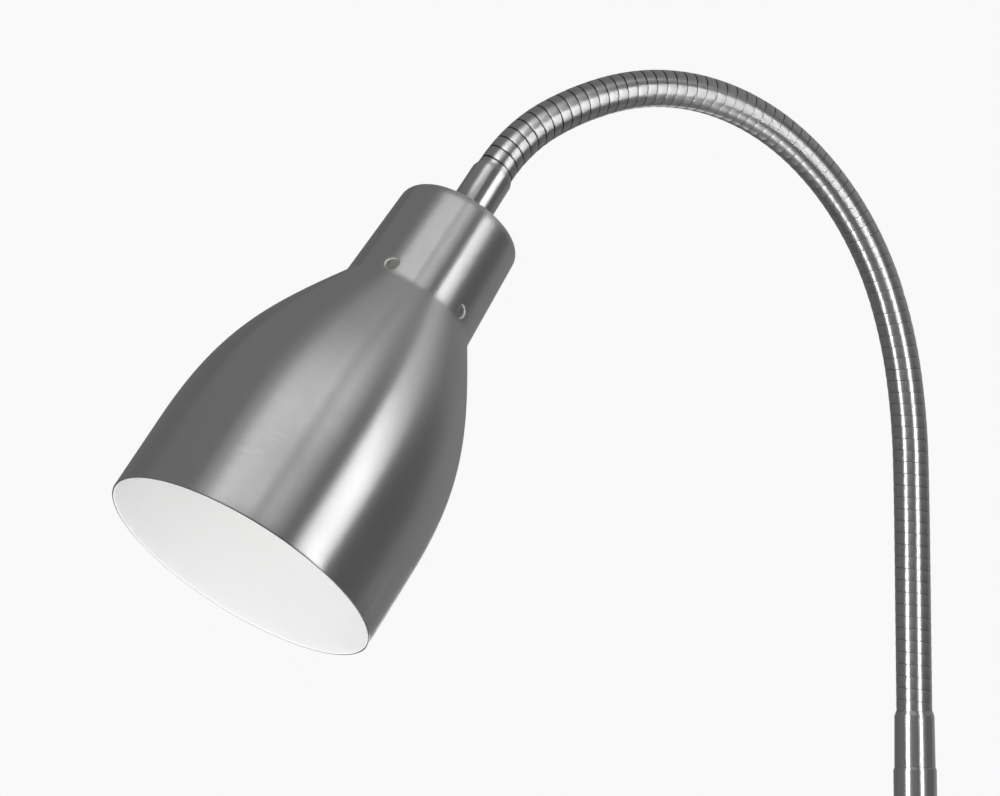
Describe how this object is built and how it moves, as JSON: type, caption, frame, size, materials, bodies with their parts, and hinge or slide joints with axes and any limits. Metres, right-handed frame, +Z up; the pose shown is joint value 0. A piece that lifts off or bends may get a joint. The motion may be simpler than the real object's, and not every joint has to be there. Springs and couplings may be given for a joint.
{
  "type": "floor lamp",
  "caption": "Reading floor lamp: round weighted base with a foot switch, straight pole, wound gooseneck that bends and stays, and a bell shade over a small screw bulb.",
  "frame": {"origin": "centre of the base's underside, on the floor under the pole", "axes": "+Z up along the pole; the gooseneck arches towards -X; the cord inlet is at +X"},
  "size_m": [0.4503, 0.25, 1.3104],
  "materials": {
    "satin_nickel": "satin nickel plate over spun and drawn steel",
    "wound_nickel": "nickel plated wound strip",
    "plain_steel": "zinc plated steel",
    "cast_iron": "rough casting, primed",
    "foam": "matt foam rubber",
    "black_plastic": "moulded, fine grain",
    "ivory_plastic": "moulded thermoset",
    "brass": "stamped brass",
    "opal": "opal diffuser"
  },
  "bodies": {
    "stand": {"base_pad": "foam", "base_weight": "cast_iron", "base_cover": "satin_nickel", "base_stud": "plain_steel", "base_washer": "plain_steel", "base_nut": "plain_steel", "base_collar": "satin_nickel", "cord_gland": "black_plastic", "switch_body": "black_plastic", "switch_nut": "satin_nickel", "pole_lower": "satin_nickel", "pole_middle": "satin_nickel", "pole_upper": "satin_nickel", "pole_couplers": "plain_steel", "pole_bush": "plain_steel", "neck_ferrule": "satin_nickel", "neck_stretch_01": "wound_nickel"},
    "button": {"switch_button": "satin_nickel"},
    "neck_02": {"neck_stretch_02": "wound_nickel"},
    "neck_03": {"neck_stretch_03": "wound_nickel"},
    "neck_04": {"neck_stretch_04": "wound_nickel"},
    "neck_05": {"neck_stretch_05": "wound_nickel"},
    "neck_06": {"neck_stretch_06": "wound_nickel"},
    "neck_07": {"neck_stretch_07": "wound_nickel"},
    "neck_08": {"neck_stretch_08": "wound_nickel"},
    "neck_09": {"neck_stretch_09": "wound_nickel"},
    "neck_10": {"neck_stretch_10": "wound_nickel"},
    "neck_11": {"neck_stretch_11": "wound_nickel"},
    "head": {"neck_stretch_12": "wound_nickel", "head_ferrule": "satin_nickel", "head_nipple": "plain_steel", "lock_washer": "plain_steel", "lock_nut": "brass", "shade": "satin_nickel", "holder_cap": "ivory_plastic", "holder_body": "ivory_plastic", "holder_thread": "brass", "holder_contacts": "brass", "holder_screws": "brass", "bulb_cap": "plain_steel", "bulb_globe": "opal"}
  },
  "joints": [
    {"name": "button_press", "type": "slide", "parent": "stand", "child": "button", "axis": [0, 0, -1], "range_m": [0, 0.004], "stiffness_N_per_m": 700, "springref_m": -0.003},
    {"name": "neck_bend_01", "type": "hinge", "parent": "stand", "child": "neck_02", "pos_m": [0, 0, 1.1122], "axis": [0, -1, 0], "range_deg": [-20, 8]},
    {"name": "neck_sway_02", "type": "hinge", "parent": "neck_02", "child": "neck_03", "pos_m": [0, 0, 1.1432], "axis": [1, 0, 0], "range_deg": [-15, 15]},
    {"name": "neck_bend_03", "type": "hinge", "parent": "neck_03", "child": "neck_04", "pos_m": [-0.00027, 0, 1.1742], "axis": [0, -1, 0], "range_deg": [-20, 8]},
    {"name": "neck_sway_04", "type": "hinge", "parent": "neck_04", "child": "neck_05", "pos_m": [-0.00297, 0, 1.20505], "axis": [0.9877, 0, 0.1564], "range_deg": [-15, 15]},
    {"name": "neck_bend_05", "type": "hinge", "parent": "neck_05", "child": "neck_06", "pos_m": [-0.01098, 0, 1.23494], "axis": [0, -1, 0], "range_deg": [-20, 8]},
    {"name": "neck_sway_06", "type": "hinge", "parent": "neck_06", "child": "neck_07", "pos_m": [-0.02596, 0, 1.26197], "axis": [0.7986, 0, 0.6018], "range_deg": [-15, 15]},
    {"name": "neck_bend_07", "type": "hinge", "parent": "neck_07", "child": "neck_08", "pos_m": [-0.04781, 0, 1.28382], "axis": [0, -1, 0], "range_deg": [-20, 8]},
    {"name": "neck_sway_08", "type": "hinge", "parent": "neck_08", "child": "neck_09", "pos_m": [-0.07507, 0, 1.29831], "axis": [0.3256, 0, 0.9455], "range_deg": [-15, 15]},
    {"name": "neck_bend_09", "type": "hinge", "parent": "neck_09", "child": "neck_10", "pos_m": [-0.10547, 0, 1.30367], "axis": [0, -1, 0], "range_deg": [-20, 8]},
    {"name": "neck_sway_10", "type": "hinge", "parent": "neck_10", "child": "neck_11", "pos_m": [-0.13604, 0, 1.29938], "axis": [-0.2924, 0, 0.9563], "range_deg": [-15, 15]},
    {"name": "neck_bend_11", "type": "hinge", "parent": "neck_11", "child": "head", "pos_m": [-0.16441, 0, 1.28704], "axis": [0, -1, 0], "range_deg": [-20, 8]}
  ]
}
